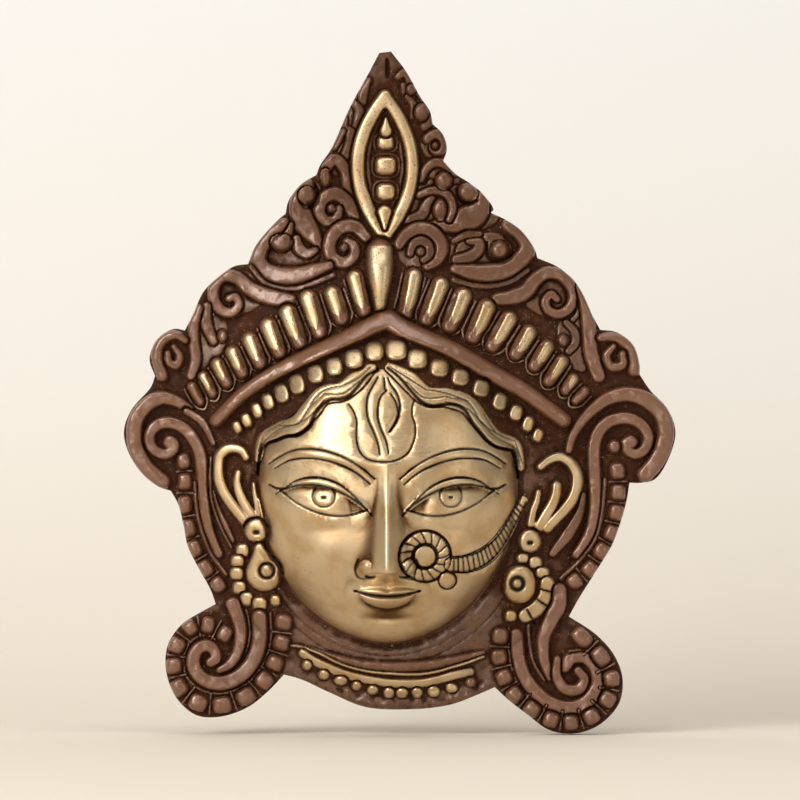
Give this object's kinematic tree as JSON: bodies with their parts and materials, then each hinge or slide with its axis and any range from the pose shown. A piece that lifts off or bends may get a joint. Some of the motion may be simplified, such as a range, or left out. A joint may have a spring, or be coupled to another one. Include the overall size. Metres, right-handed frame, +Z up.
{
  "type": "durga mask",
  "caption": "Cast brass wall mask of a crowned goddess's face, hollow behind, hung on a wall by a cast lug.",
  "frame": {"origin": "middle of the flat top part of the cast hanging lug's back, in the plane of the wall", "axes": "+Z up along the mask's height, +Y into the wall, +X to the viewer's right"},
  "size_m": [0.1846, 0.0472, 0.2283],
  "materials": {
    "brass_casting": "cast brass with a dark brown patina, polished back to bright brass on the face and the high relief"
  },
  "bodies": {
    "root": {"mask_casting": "brass_casting"}
  },
  "joints": []
}
